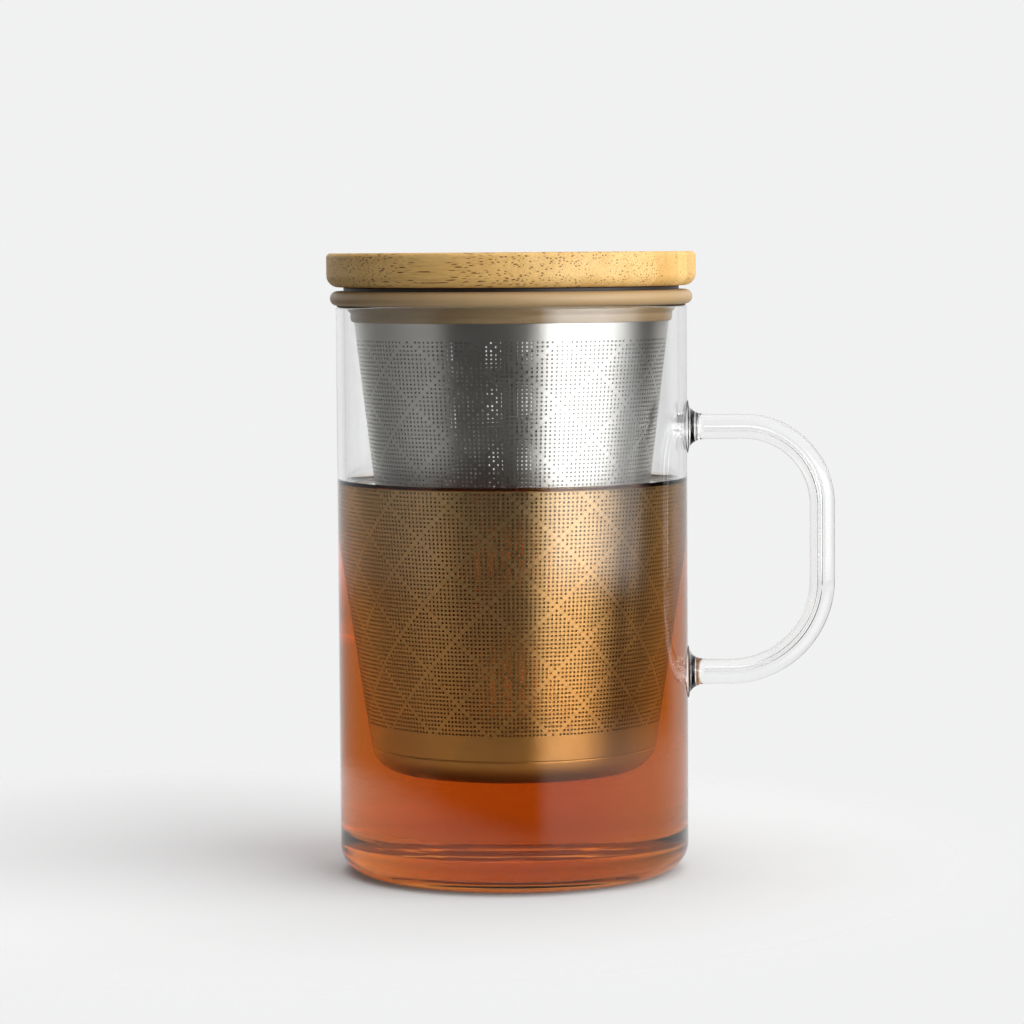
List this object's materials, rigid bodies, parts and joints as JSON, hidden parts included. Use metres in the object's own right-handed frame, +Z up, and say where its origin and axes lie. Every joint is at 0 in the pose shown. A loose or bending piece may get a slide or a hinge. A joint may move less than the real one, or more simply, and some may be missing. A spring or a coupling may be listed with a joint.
{
  "type": "lidded tea mug with infuser",
  "caption": "Straight clear glass tea mug with a D-shaped glass rod handle, a tapered perforated steel infuser hung from a tan silicone collar, and a lift-off bamboo lid.",
  "frame": {"origin": "centre of the flat base of the cup, where it stands on a table", "axes": "+Z up along the cup's axis, +X towards the handle, -Y towards the front"},
  "size_m": [0.1158, 0.084, 0.1413],
  "materials": {
    "clear_glass": "clear polished borosilicate glass",
    "brushed_steel": "satin stainless steel sheet",
    "tan_silicone": "matt tan silicone",
    "dark_silicone": "matt dark brown silicone",
    "bamboo": "carbonised bamboo with a thin satin oil finish"
  },
  "bodies": {
    "mug": {"mug_body": "clear_glass", "mug_handle": "clear_glass"},
    "infuser": {"infuser_wall": "brushed_steel", "infuser_base": "brushed_steel", "infuser_rim": "brushed_steel", "infuser_collar": "tan_silicone"},
    "lid": {"lid_plug": "bamboo", "lid_seal": "dark_silicone", "lid_strip_1": "bamboo", "lid_strip_2": "bamboo", "lid_strip_3": "bamboo", "lid_strip_4": "bamboo", "lid_strip_5": "bamboo", "lid_strip_6": "bamboo"}
  },
  "joints": [
    {"name": "infuser_lift", "type": "slide", "parent": "mug", "child": "infuser", "axis": [0, 0, 1], "range_m": [0, 0.115]},
    {"name": "lid_lift", "type": "slide", "parent": "infuser", "child": "lid", "axis": [0, 0, 1], "range_m": [0, 0.06]}
  ]
}
